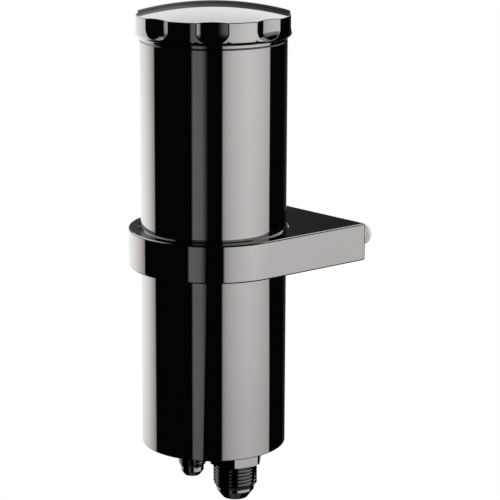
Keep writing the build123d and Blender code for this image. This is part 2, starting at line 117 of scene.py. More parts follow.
# Cap
CAP_OVERHANG = 2.19
CAP_RADIUS = TUBE_RADIUS + CAP_OVERHANG
DOME_RISE = 5.1
SIDE_TOP = CAP_APEX - DOME_RISE
DOME_RADIUS = (CAP_RADIUS ** 2 + DOME_RISE ** 2) / (2 * DOME_RISE)
GRIP_LOW = TOP + 1.6
GRIP_ROUND = CAP_OVERHANG
LAND_EDGE = 0.5
RIM_ROUND = 0.35                 # between the dome and the side, and round the scallops
SCALLOPS = 8
SCALLOP_DEPTH = 1.55
SCALLOP_LOWEST = 2.9             # over the can's top face
CUTTER_RADIUS = 41.0
CUTTER_CORNER = 9.3
SCALLOP_PHASE = math.radians(-43.8)
CUTTER_REACH = CAP_RADIUS - SCALLOP_DEPTH + CUTTER_RADIUS
CUTTER_LOW = (
    TOP + SCALLOP_LOWEST - CUTTER_CORNER
    + math.sqrt(CUTTER_CORNER ** 2 - (CUTTER_CORNER - SCALLOP_DEPTH) ** 2)
)
CAP_RELIEF_RADIUS = CAP_CORE_RADIUS - 0.7
PLUG_RADIUS = BORE_RADIUS - 0.3
SEAL_GROOVE_RADIUS = BORE_RADIUS - 2.76
SEAL_GROOVE_HEIGHT = 3.2
PLUG_CHAMFER = 0.8
POCKET_RADIUS = PLUG_RADIUS - 9.45
POCKET_ROOF = TOP + 6.0
POCKET_CORNER = 3.0
POST_RADIUS = 6.0
POST_END = PLUG_LOW + 2.5

# Bracket
RING_WALL = 6.35
RING_RADIUS = TUBE_RADIUS + RING_WALL
BRACKET_BORE = TUBE_RADIUS + FIT_CLEARANCE
BORE_CHAMFER = 1.2
BRACKET_ROUND = 0.9
BRACKET_CORNER = 1.2
SCREW_HOLE_RADIUS = 3.225
SCREW_HOLE_DEPTH = 22.0
COUNTERSINK = 0.6

# Mounting screws, 1/4 in by 20 turns to the inch
SCREW_RADIUS = 3.175
SCREW_LENGTH = 25.4
SCREW_STANDOFF = 11.3
SCREW_PITCH = 25.4 / 20
HEAD_RADIUS = 5.55
HEAD_HEIGHT = 3.35
HEAD_FLAT = 2.9
HEAD_BULGE = 0.6                 # of the head's flank over a straight cone
SOCKET_WIDTH = 3.97
SOCKET_DEPTH = 2.2

# Fittings: thread, hexagon, nose, tip, bore, stem in the port, seal
PORT_OFFSET = 16.2
FLARE_ANGLE = math.radians(37.0)
HEX_TURN = math.radians(12.5)
HEX_CORNER_SHARE = 0.97
HEX_CHAMFER = 0.9
HEX_EDGE_ROUND = 1.2
COLLAR_ROUND = 0.5
PORT_CHAMFER = 0.8
NOSE_BREAK = 0.4
SEAL_CLEARANCE = 0.06
NECK_OVERLAP = 0.2               # of the hexagon over the neck inside it
FEED = {
    "x": PORT_OFFSET, "thread": 22.22, "length": 13.2, "pitch": 25.4 / 14, "hexagon": 25.4,
    "hex_height": 7.8, "nose": 19.2, "nose_length": 1.5, "tip": 12.7, "bore": 11.2, "stem": 11.0,
    "seal": 2.4, "passage": 17.0,
}
RETURN = {
    "x": -PORT_OFFSET, "thread": 14.29, "length": 11.2, "pitch": 25.4 / 18, "hexagon": 17.46,
    "hex_height": 7.4, "nose": 12.0, "nose_length": 2.4, "tip": 8.0, "bore": 6.8, "stem": 9.6,
    "seal": 1.8, "passage": 9.5,
}
THREAD_SHARE = 0.56              # depth of a thread, as a share of its pitch
CREST_SHARE = 0.27               # flat of a thread's crest, as a share of its pitch
ROOT_SHARE = 0.05
THREAD_BACKING = 0.5             # how far a thread piece reaches into its shank

# Fineness of the round pieces, and how far a cutter reaches past what it cuts
CAN_COLUMNS = 288
SMALL_COLUMNS = 120
HEAD_COLUMNS = 96
HOLE_COLUMNS = 64
THREAD_COLUMNS = 96
ROWS_PER_TURN = 16
RING_STEPS = 220
RIM_STEPS = 6
ARC_STEPS = 5
OVERCUT = 1.0

# Edges bent by more degrees than this stay sharp
SHARP_ANGLE = 25
HEX_SHARP_ANGLE = 12
THREAD_SHARP_ANGLE = 35

# Light tent round the object. Directions are seen from the can's axis: degrees, 0 towards the camera,
# + to the camera's right. Each row is a direction, the brightness there and how warm it is.
# Between the light panels stand black flags.
PANELS = [
    (-180, 1.10, 0.0), (-158, 1.15, 0.0), (-148, 1.20, 0.0), (-138, 1.18, 0.3), (-131, 1.14, 0.7),
    (-125, 1.05, 1.0), (-118, 0.90, 1.3), (-112, 0.74, 1.7), (-107, 0.55, 2.2), (-104, 0.38, 2.4),
    (-102.8, 0.0, 2.5), (-33.3, 0.0, 0.0), (-31.8, 0.175, 0.9), (-24, 0.175, 0.9), (-17.5, 0.160, 0.9),
    (-10.4, 0.020, 0.9), (-9, 0.0, 0.0), (12.8, 0.0, 0.8), (14.6, 0.46, 0.8), (20, 0.63, 0.8),
    (30, 0.77, 0.9), (42, 0.87, 1.0), (53, 0.93, 1.0), (64, 0.91, 1.0), (80, 0.82, 1.0), (95.3, 0.68, 1.0),
    (97.0, 0.0, 0.6), (140, 0.0, 0.0), (155, 0.03, 0.0), (167, 0.10, 0.0), (174, 0.60, 0.0),
    (180, 1.10, 0.0),
]
# Lower down the middle panel's right edge lies further left: degrees over each metre, and at height 0
MIDDLE_LEAN = 32.7
MIDDLE_EDGE = -1.84
MIDDLE_SOFTNESS = 0.8
# Lower down the right panel reaches this many degrees further round
RIGHT_REACH = 3.4
REACH_HEIGHTS = (-0.18, -0.42)
REACH_DIRECTIONS = (50, 92)
# Height over the bracket's middle in metres, and the share of the panels' brightness there
LEFT_RISE = [
    (-0.60, 0.0), (-0.53, 0.38), (-0.47, 0.80), (-0.38, 0.95), (-0.22, 1.02), (-0.10, 1.00),
    (0.00, 0.92), (0.10, 0.75), (0.18, 0.30), (0.40, 0.15), (0.47, 0.0),
]
RIGHT_RISE = [
    (-0.62, 0.0), (-0.54, 0.40), (-0.49, 0.76), (-0.40, 0.81), (-0.34, 0.88), (-0.22, 0.96),
    (-0.08, 1.02), (0.08, 1.04), (0.14, 0.80), (0.20, 0.35), (0.40, 0.25), (0.47, 0.0),
]
RIGHT_START = (0, 8)
RIGHT_END = (125, 115)
# The wall behind the object over the panels, dim, warmer and brighter to the left
BACK_WALL = [
    (-180, 0.107, 2.2), (-178, 0.12, 2.2), (-175, 0.20, 2.2), (-170, 0.24, 2.0), (-160, 0.30, 1.5),
    (140, 0.0, 0.0), (160, 0.03, -1.0), (170, 0.046, -1.0), (174, 0.062, -0.5), (178, 0.090, 1.2),
    (180, 0.107, 2.2),
]
BACK_WALL_RISE = [
    (0.10, 1.05), (0.15, 0.95), (0.19, 0.66), (0.23, 0.36), (0.26, 0.36), (0.31, 0.72), (0.37, 0.98),
    (0.42, 1.0),
]
BACK_WALL_LOW = (0.05, 0.11)
BACK_WALL_LEFT = (-165, -158)
BACK_WALL_RIGHT = (148, 140)
# Wide softbox over the object, behind it: its lower edge bows down and it fades at the sides
SOFTBOX_RISE = [
    (0.428, 0.0), (0.440, 1.09), (0.50, 1.14), (0.60, 1.13), (0.70, 1.08), (0.80, 1.02), (0.93, 0.94),
    (1.50, 0.70), (1.58, 0.0),
]
SOFTBOX_EDGE = (0.440, 0.430)
SOFTBOX_BOW = 0.00028            # metres over the square of the degrees from the back
SOFTBOX_BOW_MOST = 0.045
SOFTBOX_SIDES = (98, 165)
SOFTBOX_FADE = 0.4
# The floor as the chrome sees it: lit beside the panels, dark in the camera's shade
FLOOR_LIGHT = [
    (-180, 0.030, 0.5), (-150, 0.060, 0.5), (-115, 0.050, 0.5), (-90, 0.012, 0.0), (-60, 0.003, 0.0),
    (15, 0.003, 0.0), (40, 0.020, 0.5), (70, 0.045, 0.8), (110, 0.060, 0.8), (150, 0.035, 0.5),
    (180, 0.030, 0.5),
]
FLOOR_EDGE = (-0.70, -0.80)      # upward share of a ray where the floor comes into view
BLACK_LEVEL = 0.0018
BLACK_TINT = (0.7, 1.0, 1.15)
TENT_RADIUS = 1000.0
TENT_LOW = -3000.0
TENT_HIGH = 1600.0
PAPER_HEIGHT = -900.0
PAPER_HALF = 3000.0

WHITE = (1.0, 1.0, 1.0, 1.0)
SOFT = {"interpolation_type": "SMOOTHSTEP"}


def to_linear(hex_colour):
    """sRGB hex colour as linear red, green, blue and alpha."""
    channels = [int(hex_colour[i:i + 2], 16) / 255 for i in (1, 3, 5)]
    linear = [c / 12.92 if c <= 0.04045 else ((c + 0.055) / 1.055) ** 2.4 for c in channels]
    return (*linear, 1.0)


def add_node(tree, kind, inputs=(), output=0, **settings):
    """Adds a node with its settings and gives one of its outputs; an input given a socket is linked."""
    node = tree.nodes.new(kind)
    for name, value in settings.items():
        setattr(node, name, value)
    for key, value in inputs.items() if isinstance(inputs, dict) else enumerate(inputs):
        if isinstance(value, bpy.types.NodeSocket):
            tree.links.new(value, node.inputs[key])
        else:
            node.inputs[key].default_value = value
    return node.outputs[output] if node.outputs else None


def place_camera():
    """Camera of the photograph, level and shifted so that the can's axis stands left of the middle."""
    data = bpy.data.cameras.new("photo_camera")
    data.lens = LENS
    data.sensor_width = SENSOR_WIDTH
    data.shift_x = (PHOTO_WIDTH / 2 - AXIS_COLUMN) / PHOTO_WIDTH
    camera = bpy.data.objects.new("photo_camera", data)
    camera.location = (
        math.sin(VIEW_AZIMUTH) * VIEW_DISTANCE * MM,
        (AXIS_Y - math.cos(VIEW_AZIMUTH) * VIEW_DISTANCE) * MM,
        (TOP + VIEW_HEIGHT) * MM,
    )
    camera.rotation_euler = (math.pi / 2 - VIEW_TILT, 0, VIEW_AZIMUTH)
    bpy.context.scene.collection.objects.link(camera)
    bpy.context.scene.camera = camera


def warm(level, warmth=0.0):
    """Brightness as a colour, warmer than white by warmth."""
    return level * (1 + 0.012 * warmth), level * (1 - 0.036 * warmth), level * (1 - 0.056 * warmth), 1.0


def light_along(tree, value, rows):
    """Light along a value, from rows of a value, the brightness there and how warm it is."""
    low = rows[0][0]
    high = rows[-1][0]
    share = add_node(tree, "ShaderNodeMapRange", [value, low, high])
    colour = add_node(tree, "ShaderNodeValToRGB", [share])
    elements = colour.node.color_ramp.elements
    elements[0].color = warm(*rows[0][1:])
    elements[-1].color = warm(*rows[-1][1:])
    for place, *light in rows[1:-1]:
        elements.new((place - low) / (high - low)).color = warm(*light)
    return colour


def direction_of(tree, right, toward):
    """Direction in degrees, 0 towards the camera and + to its right."""
    turn = add_node(tree, "ShaderNodeMath", [right, toward], operation="ARCTAN2")
    return add_node(tree, "ShaderNodeMath", [turn, math.degrees(1)], operation="MULTIPLY")


def build_world():
    """White to the camera and on matt pieces; in the chrome black over the tent and a dim floor under it."""
    world = bpy.data.worlds.new("studio")
    bpy.context.scene.world = world
    world.use_nodes = True
    tree = world.node_tree
    tree.nodes.clear()
    add = partial(add_node, tree)
    place = add("ShaderNodeTexCoord", output="Generated")
    upward = add("ShaderNodeSeparateXYZ", [place], 2)
    sine = math.sin(VIEW_AZIMUTH)
    cosine = math.cos(VIEW_AZIMUTH)
    right = add("ShaderNodeVectorMath", [place, (cosine, sine, 0)], "Value", operation="DOT_PRODUCT")
    toward = add("ShaderNodeVectorMath", [place, (sine, -cosine, 0)], "Value", operation="DOT_PRODUCT")
    floor_light = light_along(tree, direction_of(tree, right, toward), FLOOR_LIGHT)
    downward = add("ShaderNodeMapRange", [upward, *FLOOR_EDGE], **SOFT)
    dark = add("ShaderNodeMix", {0: downward, 6: warm(BLACK_LEVEL), 7: floor_light}, 2, data_type="RGBA")
    mirrored = add("ShaderNodeLightPath", output="Is Glossy Ray")
    colour = add("ShaderNodeMix", {0: mirrored, 6: WHITE, 7: dark}, 2, data_type="RGBA")
    background = add("ShaderNodeBackground", [colour, 1.0])
    add("ShaderNodeOutputWorld", [background])


def empty_material(name):
    material = bpy.data.materials.new(name)
    material.use_nodes = True
    material.node_tree.nodes.clear()
    return material, material.node_tree


def panel_light(tree, direction, height):
    """Light of the panels round the object, which end above and below it."""
    add = partial(add_node, tree)
    right_start = add("ShaderNodeMapRange", [direction, *RIGHT_START], **SOFT)
    right_end = add("ShaderNodeMapRange", [direction, *RIGHT_END], **SOFT)
    on_right = add("ShaderNodeMath", [right_start, right_end], operation="MULTIPLY")
    left_rise = light_along(tree, height, LEFT_RISE)
    right_rise = light_along(tree, height, RIGHT_RISE)
    rise = add("ShaderNodeMix", {0: on_right, 6: left_rise, 7: right_rise}, 2, data_type="RGBA")
    low = add("ShaderNodeMapRange", [height, *REACH_HEIGHTS], **SOFT)
    far_right = add("ShaderNodeMapRange", [direction, *REACH_DIRECTIONS], **SOFT)
    low_right = add("ShaderNodeMath", [low, far_right], operation="MULTIPLY")
    drawn_out = add("ShaderNodeMath", [low_right, -RIGHT_REACH, direction], operation="MULTIPLY_ADD")
    panels = light_along(tree, drawn_out, PANELS)
    panels = add("ShaderNodeVectorMath", {0: panels, "Scale": rise}, operation="SCALE")
    edge = add("ShaderNodeMath", [height, MIDDLE_LEAN, MIDDLE_EDGE], operation="MULTIPLY_ADD")
    past = add("ShaderNodeMath", [direction, edge], operation="SUBTRACT")
    inside = add("ShaderNodeMapRange", [past, MIDDLE_SOFTNESS, -MIDDLE_SOFTNESS], **SOFT)
    other_side = add("ShaderNodeMapRange", [direction, 0, 1], **SOFT)
    shown = add("ShaderNodeMath", [inside, other_side], operation="MAXIMUM")
    return add("ShaderNodeVectorMath", {0: panels, "Scale": shown}, operation="SCALE")


def tent_light(tree):
    """Light of the whole tent: panels, the wall behind the object and the softbox over it."""
    add = partial(add_node, tree)
    place = add("ShaderNodeTexCoord", output="Object")
    right, away, height = add("ShaderNodeSeparateXYZ", [place]).node.outputs
    toward = add("ShaderNodeMath", [away, -1.0], operation="MULTIPLY")
    direction = direction_of(tree, right, toward)
    panels = panel_light(tree, direction, height)

    left = add("ShaderNodeMapRange", [direction, *BACK_WALL_LEFT], **SOFT)
    right = add("ShaderNodeMapRange", [direction, *BACK_WALL_RIGHT], **SOFT)
    in_front = add("ShaderNodeMath", [left, right], operation="MULTIPLY")
    behind = add("ShaderNodeMath", [1.0, in_front], operation="SUBTRACT")
    high = add("ShaderNodeMapRange", [height, *BACK_WALL_LOW], **SOFT)
    wall_share = add("ShaderNodeMath", [behind, high], operation="MULTIPLY")
    wall = light_along(tree, direction, BACK_WALL)
    wall_rise = light_along(tree, height, BACK_WALL_RISE)
    wall = add("ShaderNodeVectorMath", {0: wall, "Scale": wall_rise}, operation="SCALE")

    off_axis = add("ShaderNodeMath", [direction], operation="ABSOLUTE")
    off_back = add("ShaderNodeMath", [180.0, off_axis], operation="SUBTRACT")
    square = add("ShaderNodeMath", [off_back, off_back], operation="MULTIPLY")
    bow = add("ShaderNodeMath", [square, SOFTBOX_BOW], operation="MULTIPLY")
    bow = add("ShaderNodeMath", [bow, SOFTBOX_BOW_MOST], operation="MINIMUM")
    bowed_height = add("ShaderNodeMath", [height, bow], operation="ADD")
    under = add("ShaderNodeMapRange", [bowed_height, *SOFTBOX_EDGE], **SOFT)
    wall = add("ShaderNodeVectorMath", {0: wall, "Scale": under}, operation="SCALE")
    light = add("ShaderNodeMix", {0: wall_share, 6: panels, 7: wall}, 2, data_type="RGBA")
    sides = add("ShaderNodeMapRange", [off_axis, *SOFTBOX_SIDES])
    sides = add("ShaderNodeMath", [sides, SOFTBOX_FADE], operation="POWER")
    softbox = light_along(tree, bowed_height, SOFTBOX_RISE)
    softbox = add("ShaderNodeMath", [softbox, sides], operation="MULTIPLY")
    light = add("ShaderNodeVectorMath", [light, softbox], operation="ADD")
    black = [BLACK_LEVEL * tint for tint in BLACK_TINT]
    return add("ShaderNodeVectorMath", [light, black], operation="ADD")


def build_tent():
    """Round wall of light panels and black flags, seen only in reflections."""
    outline = [(TENT_RADIUS, TENT_LOW), (TENT_RADIUS, TENT_HIGH)]
    wall = lathe(outline, even_angles(SMALL_COLUMNS), closed=False)
    tent = make_object("studio_tent", wall, 0, 0)
    tent.location = (0, AXIS_Y * MM, 0)
    tent.rotation_euler = (0, 0, VIEW_AZIMUTH)
    material, tree = empty_material("light_tent")
    shine = add_node(tree, "ShaderNodeEmission", [tent_light(tree), 1.0])
    add_node(tree, "ShaderNodeOutputMaterial", [shine])
    material.cycles.emission_sampling = "NONE"
    tent.data.materials.append(material)
    tent.visible_camera = False
    tent.visible_diffuse = False
    tent.visible_transmission = False
    tent.visible_volume_scatter = False
    tent.visible_shadow = False


def build_floor():
    """Plain white floor far below the part, out of the chrome's reflections."""
    mesh = bmesh.new()
    corners = [(-1, -1), (1, -1), (1, 1), (-1, 1)]
    mesh.faces.new([mesh.verts.new((x * PAPER_HALF, y * PAPER_HALF, PAPER_HEIGHT)) for x, y in corners])
    floor = make_object("studio_floor", mesh, 0, 0)
    material, tree = empty_material("white_paper_floor")
    matt_paper = add_node(tree, "ShaderNodeBsdfDiffuse", [to_linear("#f4f4f4")])
    white = add_node(tree, "ShaderNodeEmission", [WHITE, 1.0])
    seen = add_node(tree, "ShaderNodeLightPath", output="Is Camera Ray")
    shown = add_node(tree, "ShaderNodeMixShader", [seen, matt_paper, white])
    add_node(tree, "ShaderNodeOutputMaterial", [shown])
    floor.data.materials.append(material)
    floor.visible_glossy = False


def plain_material(name):
    """Empty material with its tree, its principled shader and its object coordinates in millimetres."""
    material, tree = empty_material(name)
    surface = add_node(tree, "ShaderNodeBsdfPrincipled")
    add_node(tree, "ShaderNodeOutputMaterial", [surface])
    place = add_node(tree, "ShaderNodeTexCoord", output="Object")
    millimetres = add_node(tree, "ShaderNodeVectorMath", {0: place, "Scale": 1 / MM}, operation="SCALE")
    return material, tree, surface.node, millimetres


def grains(tree, place, size, detail=2.0, stretch=(1, 1, 1)):
    """Noise whose grains are about size millimetres, longer along an axis where stretch is small."""
    scaled = add_node(tree, "ShaderNodeMapping", {"Vector": place, "Scale": stretch})
    return add_node(tree, "ShaderNodeTexNoise", {"Vector": scaled, "Scale": 1 / size, "Detail": detail})


def tone(tree, shader, place, size, dark, light):
    """Base colour that wanders between two near tones, in patches of about size millimetres."""
    patches = grains(tree, place, size)
    mixed = add_node(tree, "ShaderNodeMix", {0: patches, 6: dark, 7: light}, 2, data_type="RGBA")
    tree.links.new(mixed, shader.inputs["Base Color"])


def relieve(tree, shader, fine, relief):
    """Fine bumps, relief millimetres high."""
    bump = add_node(tree, "ShaderNodeBump", {"Strength": 1.0, "Distance": relief * MM, "Height": fine})
    tree.links.new(bump, shader.inputs["Normal"])


def metal(name, colour, smooth, rough, grain, relief=0.0, stretch=(1, 1, 1), share=1.0):
    """A bare or plated metal: one colour, and a roughness that wanders with the polish or the cut."""
    material, tree, shader, place = plain_material(name)
    shader.inputs["Metallic"].default_value = share
    light = to_linear(colour)
    dark = (*(channel * 0.96 for channel in light[:3]), 1.0)
    tone(tree, shader, place, grain * 12, dark, light)
    fine = grains(tree, place, grain, 3.0, stretch)
    roughness = add_node(tree, "ShaderNodeMapRange", [fine, 0.3, 0.7, smooth, rough])
    tree.links.new(roughness, shader.inputs["Roughness"])
    if relief:
        relieve(tree, shader, fine, relief)
    return material


def matt(name, colour, shade, roughness, grain, relief):
    """Rubber or plastic: two near tones and a fine moulded grain."""
    material, tree, shader, place = plain_material(name)
    shader.inputs["Roughness"].default_value = roughness
    tone(tree, shader, place, grain * 8, to_linear(shade), to_linear(colour))
    relieve(tree, shader, grains(tree, place, grain), relief)
    return material


def make_materials():
    """One finish for each material slot of the record."""
    return {
        # Chrome over polished aluminium: a near mirror with faint haze from the buffing
        "chromed_aluminium": metal("chrome_plate_polished", "#c5c5c5", 0.022, 0.045, 0.6),
        # Zinc over a steel screw: satin, under a milky passive film that scatters part of the light
        "plated_steel": metal("zinc_plate_satin", "#f6f5f2", 0.40, 0.50, 0.4, share=0.12),
        # Stainless sheet and wire, brushed: long fine scratches
        "stainless_steel": metal("stainless_brushed", "#b9b6b0", 0.22, 0.38, 0.25, 0.004, (1, 0.06, 1)),
        # Aluminium as it leaves the lathe: fine feed marks and a soft grey gloss
        "plain_aluminium": metal("aluminium_turned", "#d4d5d6", 0.24, 0.34, 0.3, 0.004, (1, 1, 4)),
        # Bronze powder pressed and sintered: dull, grainy and brown
        "sintered_bronze": metal("bronze_sintered", "#a9814f", 0.5, 0.75, 0.18, 0.05),
        # Moulded nitrile rubber: black and matt with a light bloom
        "black_rubber": matt("nitrile_rubber", "#1d1d1e", "#161617", 0.55, 0.3, 0.006),
        # Turned nylon: milky white, waxy
        "white_nylon": matt("nylon_turned", "#e6e2d6", "#dcd7c8", 0.45, 0.5, 0.008),
    }


def arc_at_corner(before, corner, after, radius, steps):
    """Points of the arc that rounds a corner of an outline in a plane."""
    start = (before - corner).normalized()
    end = (after - corner).normalized()
    half_angle = start.angle(end) / 2
    reach = radius / math.tan(half_angle)
    centre = corner + (start + end).normalized() * (radius / math.sin(half_angle))
    first = corner + start * reach - centre
    last = corner + end * reach - centre
    sweep = first.angle_signed(last)
    return [centre + Matrix.Rotation(-sweep * step / steps, 2) @ first for step in range(steps + 1)]


def rounded(outline, steps=ARC_STEPS):
    """Outline of 2D points; a third number at a corner is the radius that rounds it."""
    points = []
    for index, row in enumerate(outline):
        corner = Vector(row[:2])
        if len(row) == 3:
            before = Vector(outline[index - 1][:2])
            after = Vector(outline[(index + 1) % len(outline)][:2])
            points.extend(arc_at_corner(before, corner, after, row[2], steps))
        else:
            points.append(corner)
    return points


def even_angles(count):
    return [math.tau * index / count for index in range(count)]


def skin(mesh, rows, closed=True):
    """Faces between rows of vertices; a closed row runs on from its last vertex to its first."""
    for low, high in zip(rows, rows[1:]):
        for index in range(len(low) if closed else len(low) - 1):
            after = (index + 1) % len(low)
            corners = list(dict.fromkeys([low[index], low[after], high[after], high[index]]))
            if len(corners) > 2:
                mesh.faces.new(corners)


def turned_rows(mesh, outline, angles):
    """Rings of vertices about Z, from (radius, height) points; a point on the axis is a single vertex."""
    rows = []
    for radius, height in outline:
        if radius == 0:
            rows.append([mesh.verts.new((0, 0, height))] * len(angles))
        else:
            rows.append([
                mesh.verts.new((radius * math.cos(angle), radius * math.sin(angle), height))
                for angle in angles
            ])
    return rows


def lathe(outline, angles, closed=True):
    """Mesh turned about Z through the given directions, from (radius, height) points, millimetres."""
    mesh = bmesh.new()
    rows = turned_rows(mesh, outline, angles)
    skin(mesh, rows + rows[:1] if closed else rows)
    return mesh


def clean(mesh):
    """Merges doubles and points the faces outwards."""
    bmesh.ops.remove_doubles(mesh, verts=mesh.verts, dist=1e-5)
    bmesh.ops.dissolve_degenerate(mesh, edges=mesh.edges, dist=1e-6)
    bmesh.ops.recalc_face_normals(mesh, faces=mesh.faces)
    return mesh


def mark_sharp(mesh, sharp_angle):
    """Smooth shading, but for the edges that bend by more than an angle in degrees."""
    limit = math.radians(sharp_angle)
    for face in mesh.faces:
        face.smooth = True
    for edge in mesh.edges:
        edge.smooth = len(edge.link_faces) == 2 and edge.calc_face_angle(0) < limit


def make_object(name, mesh, x=0.0, y=AXIS_Y):
    """Object at the scene's origin from a mesh in millimetres that stands at x, y."""
    bmesh.ops.translate(mesh, verts=mesh.verts, vec=(x, y, 0))
    bmesh.ops.scale(mesh, verts=mesh.verts, vec=(MM, MM, MM))
    data = bpy.data.meshes.new(name)
    mesh.to_mesh(data)
    mesh.free()
    made = bpy.data.objects.new(name, data)
    bpy.context.scene.collection.objects.link(made)
    return made


def discard(made):
    data = made.data
    bpy.data.objects.remove(made)
    bpy.data.meshes.remove(data)


def apply_modifiers(made):
    """Replaces an object's mesh by the result of its modifiers."""
    graph = bpy.context.evaluated_depsgraph_get()
    graph.update()
    result = bpy.data.meshes.new_from_object(made.evaluated_get(graph), depsgraph=graph)
    old = made.data
    made.modifiers.clear()
    made.data = result
    bpy.data.meshes.remove(old)
    result.name = made.name


def combine(made, cutter, x=0.0, y=AXIS_Y, operation="DIFFERENCE"):
    """Cuts an object with a closed mesh in millimetres that stands at x, y."""
    tool = make_object("cutter", clean(cutter), x, y)
    cut = made.modifiers.new("cut", "BOOLEAN")
    cut.operation = operation
    cut.solver = "EXACT"
    cut.object = tool
    apply_modifiers(made)
    discard(tool)


def weighted(made, sharp_angle=SHARP_ANGLE):
    """Marks sharp edges and gives flat faces flat shading right up to their rounded edges."""
    mesh = bmesh.new()
    mesh.from_mesh(made.data)
    mark_sharp(mesh, sharp_angle)
    mesh.to_mesh(made.data)
    mesh.free()
    even = made.modifiers.new("even_normals", "WEIGHTED_NORMAL")
    even.mode = "FACE_AREA"
    even.weight = 100
    even.keep_sharp = True
    apply_modifiers(made)


def rod(radius, low, high, columns=SMALL_COLUMNS):
    """Upright round bar as a closed mesh."""
    return lathe([(0, low), (radius, low), (radius, high), (0, high)], even_angles(columns), closed=False)


def facing_panel(mesh, x=0.0):
    """Lays an upright mesh along Y, with its height 0 on the mounting face, at x."""
    bmesh.ops.rotate(mesh, verts=mesh.verts, matrix=Matrix.Rotation(-math.pi / 2, 3, "X"))
    bmesh.ops.translate(mesh, verts=mesh.verts, vec=(x, -AXIS_Y, 0))
    return mesh


def hexagon(width, low, high, first_corner=0.0, edge_round=0.0):
    """Upright hexagonal bar as a closed mesh, its upright edges rounded."""
    reach = width / math.sqrt(3)
    corners = [Vector((reach, 0)) @ Matrix.Rotation(-first_corner - angle, 2) for angle in even_angles(6)]
    plan = rounded([(*corner, edge_round) for corner in corners], 4) if edge_round else corners
    mesh = bmesh.new()
    rows = [[mesh.verts.new((*spot, height)) for spot in plan] for height in (low, high)]
    skin(mesh, rows)
    for row in rows:
        mesh.faces.new(row)
    return mesh


def thread_tree():
    """Geometry nodes that wrap a grid round an axis as a right-hand thread, its ends turned down."""
    tree = bpy.data.node_groups.new("screw_thread", "GeometryNodeTree")
    sizes = [
        "Crest", "Depth", "Pitch", "Low", "High", "End Radius", "End Slope",
        "Flank Start", "Flank End", "Turns",
    ]
    for name in sizes:
        tree.interface.new_socket(name, in_out="INPUT", socket_type="NodeSocketFloat")
    for name in ("Columns", "Rows"):
        tree.interface.new_socket(name, in_out="INPUT", socket_type="NodeSocketInt")
    tree.interface.new_socket("Finish", in_out="INPUT", socket_type="NodeSocketMaterial")
    tree.interface.new_socket("Thread", in_out="OUTPUT", socket_type="NodeSocketGeometry")
    add = partial(add_node, tree)
    given = add("NodeGroupInput").node.outputs
    grid = add("GeometryNodeMeshGrid", [1.0, 1.0, given["Columns"], given["Rows"]])
    across, along, _ = add("ShaderNodeSeparateXYZ", [add("GeometryNodeInputPosition")]).node.outputs
    across = add("ShaderNodeMath", [across, 0.5], operation="ADD")
    along = add("ShaderNodeMath", [along, 0.5], operation="ADD")
    # The grid starts one turn early and ends one turn late, and its ends are pressed flat
    turns = add("ShaderNodeMath", [along, given["Turns"], -1], operation="MULTIPLY_ADD")
    wound = add("ShaderNodeMath", [turns, across], operation="ADD")
    height = add("ShaderNodeMath", [wound, given["Pitch"], given["Low"]], operation="MULTIPLY_ADD")
    height = add("ShaderNodeMath", [height, given["Low"]], operation="MAXIMUM")
    height = add("ShaderNodeMath", [height, given["High"]], operation="MINIMUM")
    from_crest = add("ShaderNodeMath", [turns, 0.5], operation="PINGPONG")
    flank = add("ShaderNodeMapRange", [from_crest, given["Flank Start"], given["Flank End"]])
    depth = add("ShaderNodeMath", [flank, given["Depth"]], operation="MULTIPLY")
    cut = add("ShaderNodeMath", [given["Crest"], depth], operation="SUBTRACT")
    from_low = add("ShaderNodeMath", [height, given["Low"]], operation="SUBTRACT")
    from_high = add("ShaderNodeMath", [given["High"], height], operation="SUBTRACT")
    from_end = add("ShaderNodeMath", [from_low, from_high], operation="MINIMUM")
    ends = [from_end, given["End Slope"], given["End Radius"]]
    taper = add("ShaderNodeMath", ends, operation="MULTIPLY_ADD")
    lower = add("ShaderNodeMath", [cut, taper], operation="MINIMUM")
    higher = add("ShaderNodeMath", [cut, taper], operation="MAXIMUM")
    in_a_nut = add("ShaderNodeMath", [given["Depth"], 0], operation="LESS_THAN")
    radius = add("GeometryNodeSwitch", [in_a_nut, lower, higher], input_type="FLOAT")
    angle = add("ShaderNodeMath", [across, math.tau], operation="MULTIPLY")
    cosine = add("ShaderNodeMath", [angle], operation="COSINE")
    sine = add("ShaderNodeMath", [angle], operation="SINE")
    out = add("ShaderNodeCombineXYZ", [cosine, sine, 0.0])
    out = add("ShaderNodeVectorMath", {0: out, "Scale": radius}, operation="SCALE")
    up = add("ShaderNodeCombineXYZ", [0.0, 0.0, height])
    wrapped = add("ShaderNodeVectorMath", [out, up], operation="ADD")
    placed = add("GeometryNodeSetPosition", {"Geometry": grid, "Position": wrapped})
    merged = add("GeometryNodeMergeByDistance", {"Geometry": placed, "Distance": 2e-6})
    real = add("GeometryNodeRealizeInstances", {"Geometry": merged})
    finished = add("GeometryNodeSetMaterial", {"Geometry": real, "Material": given["Finish"]})
    add("NodeGroupOutput", [finished])
    return tree


THREADS = thread_tree()


